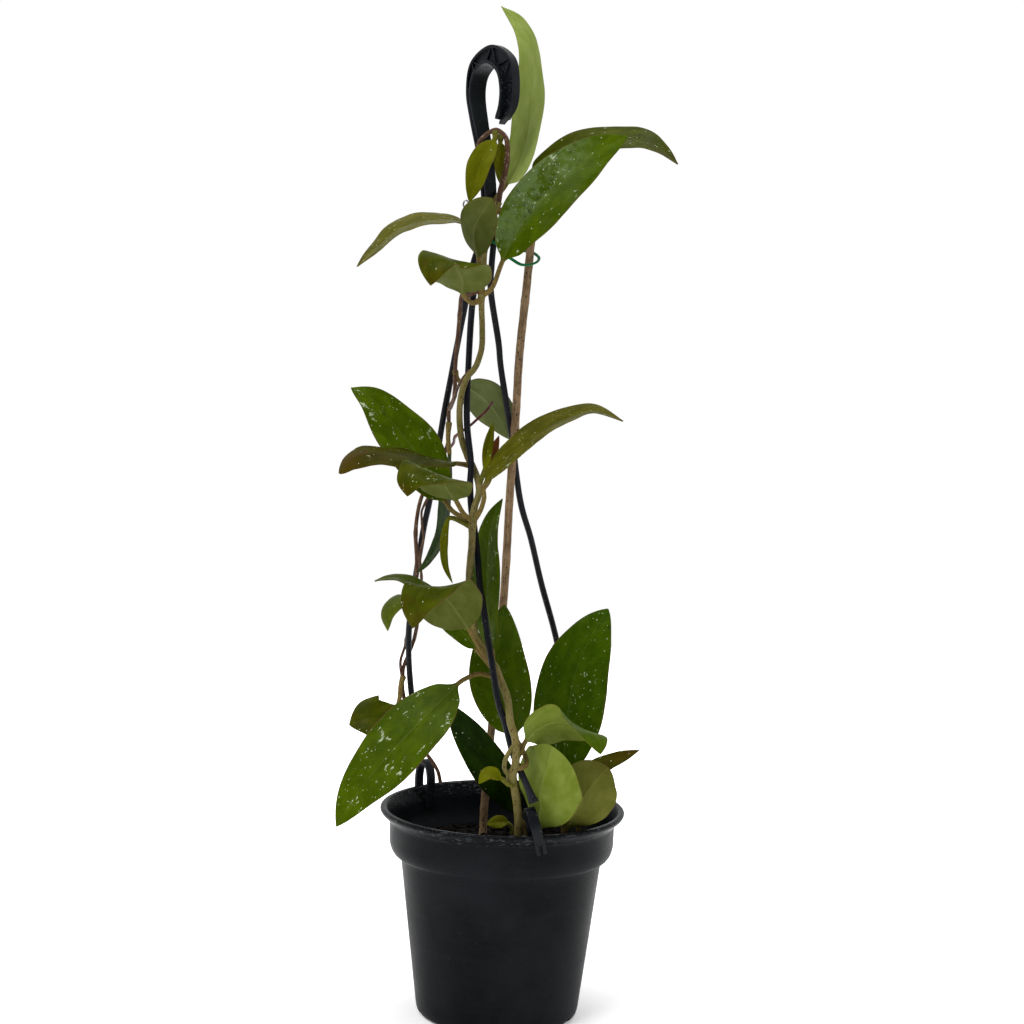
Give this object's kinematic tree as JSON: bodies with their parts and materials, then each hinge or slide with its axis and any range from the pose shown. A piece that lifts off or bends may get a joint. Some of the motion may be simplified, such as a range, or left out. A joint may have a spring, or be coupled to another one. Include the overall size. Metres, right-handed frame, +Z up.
{
  "type": "potted hoya plant",
  "caption": "Young climbing hoya in a round nursery pot, trained up the pot's three-armed plastic hanger with a ribbed hook.",
  "frame": {"origin": "centre of the pot's foot, on the surface it stands on", "axes": "+Z up through the pot and the plant; -Y towards the side with the hanger's front arm; +X to the right of it"},
  "size_m": [0.1822, 0.1668, 0.5736],
  "materials": {
    "pot": "charcoal moulded plastic, scuffed and dusty",
    "soil": "dark crumbly potting mix of bark and fibre",
    "hanger": "blue-black moulded plastic with dust",
    "stem": "olive-brown waxy stem, finely scarred",
    "vine": "thin maroon-brown stem",
    "tendril": "dark red tendril",
    "cane": "dry brown cane with dark specks",
    "tie": "green plastic-covered tie",
    "wire": "bare bent wire",
    "leaf_deep": "dark glossy leaf with silver flecks",
    "leaf_olive": "olive leaf, satin underside",
    "leaf_pale": "pale satin underside, finely bumpy",
    "leaf_young": "young yellow-green leaf"
  },
  "bodies": {
    "root": {"pot": "pot", "soil": "soil", "hanger_hook": "hanger", "strand_left": "hanger", "strand_front": "hanger", "strand_right": "hanger", "clip_left": "hanger", "clip_front": "hanger", "clip_right": "hanger", "main_stem": "stem", "tip_shoot": "vine", "vine": "vine", "side_vine": "vine", "tendril": "tendril", "cane": "cane", "twist_tie": "tie", "tie_wire": "wire", "leaf_top_upright": "leaf_pale", "leaf_top_right": "leaf_deep", "leaf_top_arching": "leaf_olive", "leaf_tip_hanging": "leaf_young", "leaf_tip_small": "leaf_young", "leaf_top_front": "leaf_olive", "leaf_top_left": "leaf_olive", "leaf_upper_drooping": "leaf_olive", "leaf_middle_flecked": "leaf_deep", "leaf_middle_left": "leaf_olive", "leaf_middle_drooping": "leaf_olive", "leaf_middle_back": "leaf_olive", "leaf_middle_right": "leaf_olive", "leaf_middle_hanging": "leaf_deep", "leaf_shoot_green": "leaf_young", "leaf_shoot_red": "tendril", "leaf_middle_tall": "leaf_deep", "leaf_middle_narrow": "leaf_young", "leaf_lower_thin": "leaf_olive", "leaf_lower_drooping": "leaf_olive", "leaf_lower_under": "leaf_deep", "leaf_lower_curled": "leaf_olive", "leaf_lower_flecked": "leaf_deep", "leaf_lower_small": "leaf_olive", "leaf_foot_broad": "leaf_deep", "leaf_foot_right": "leaf_deep", "leaf_foot_pale_top": "leaf_pale", "leaf_foot_pale_front": "leaf_pale", "leaf_foot_pale_right": "leaf_pale", "leaf_foot_brown": "leaf_olive", "leaf_foot_long": "leaf_deep", "leaf_knot_curled": "leaf_young", "leaf_soil_young": "leaf_young"}
  },
  "joints": []
}
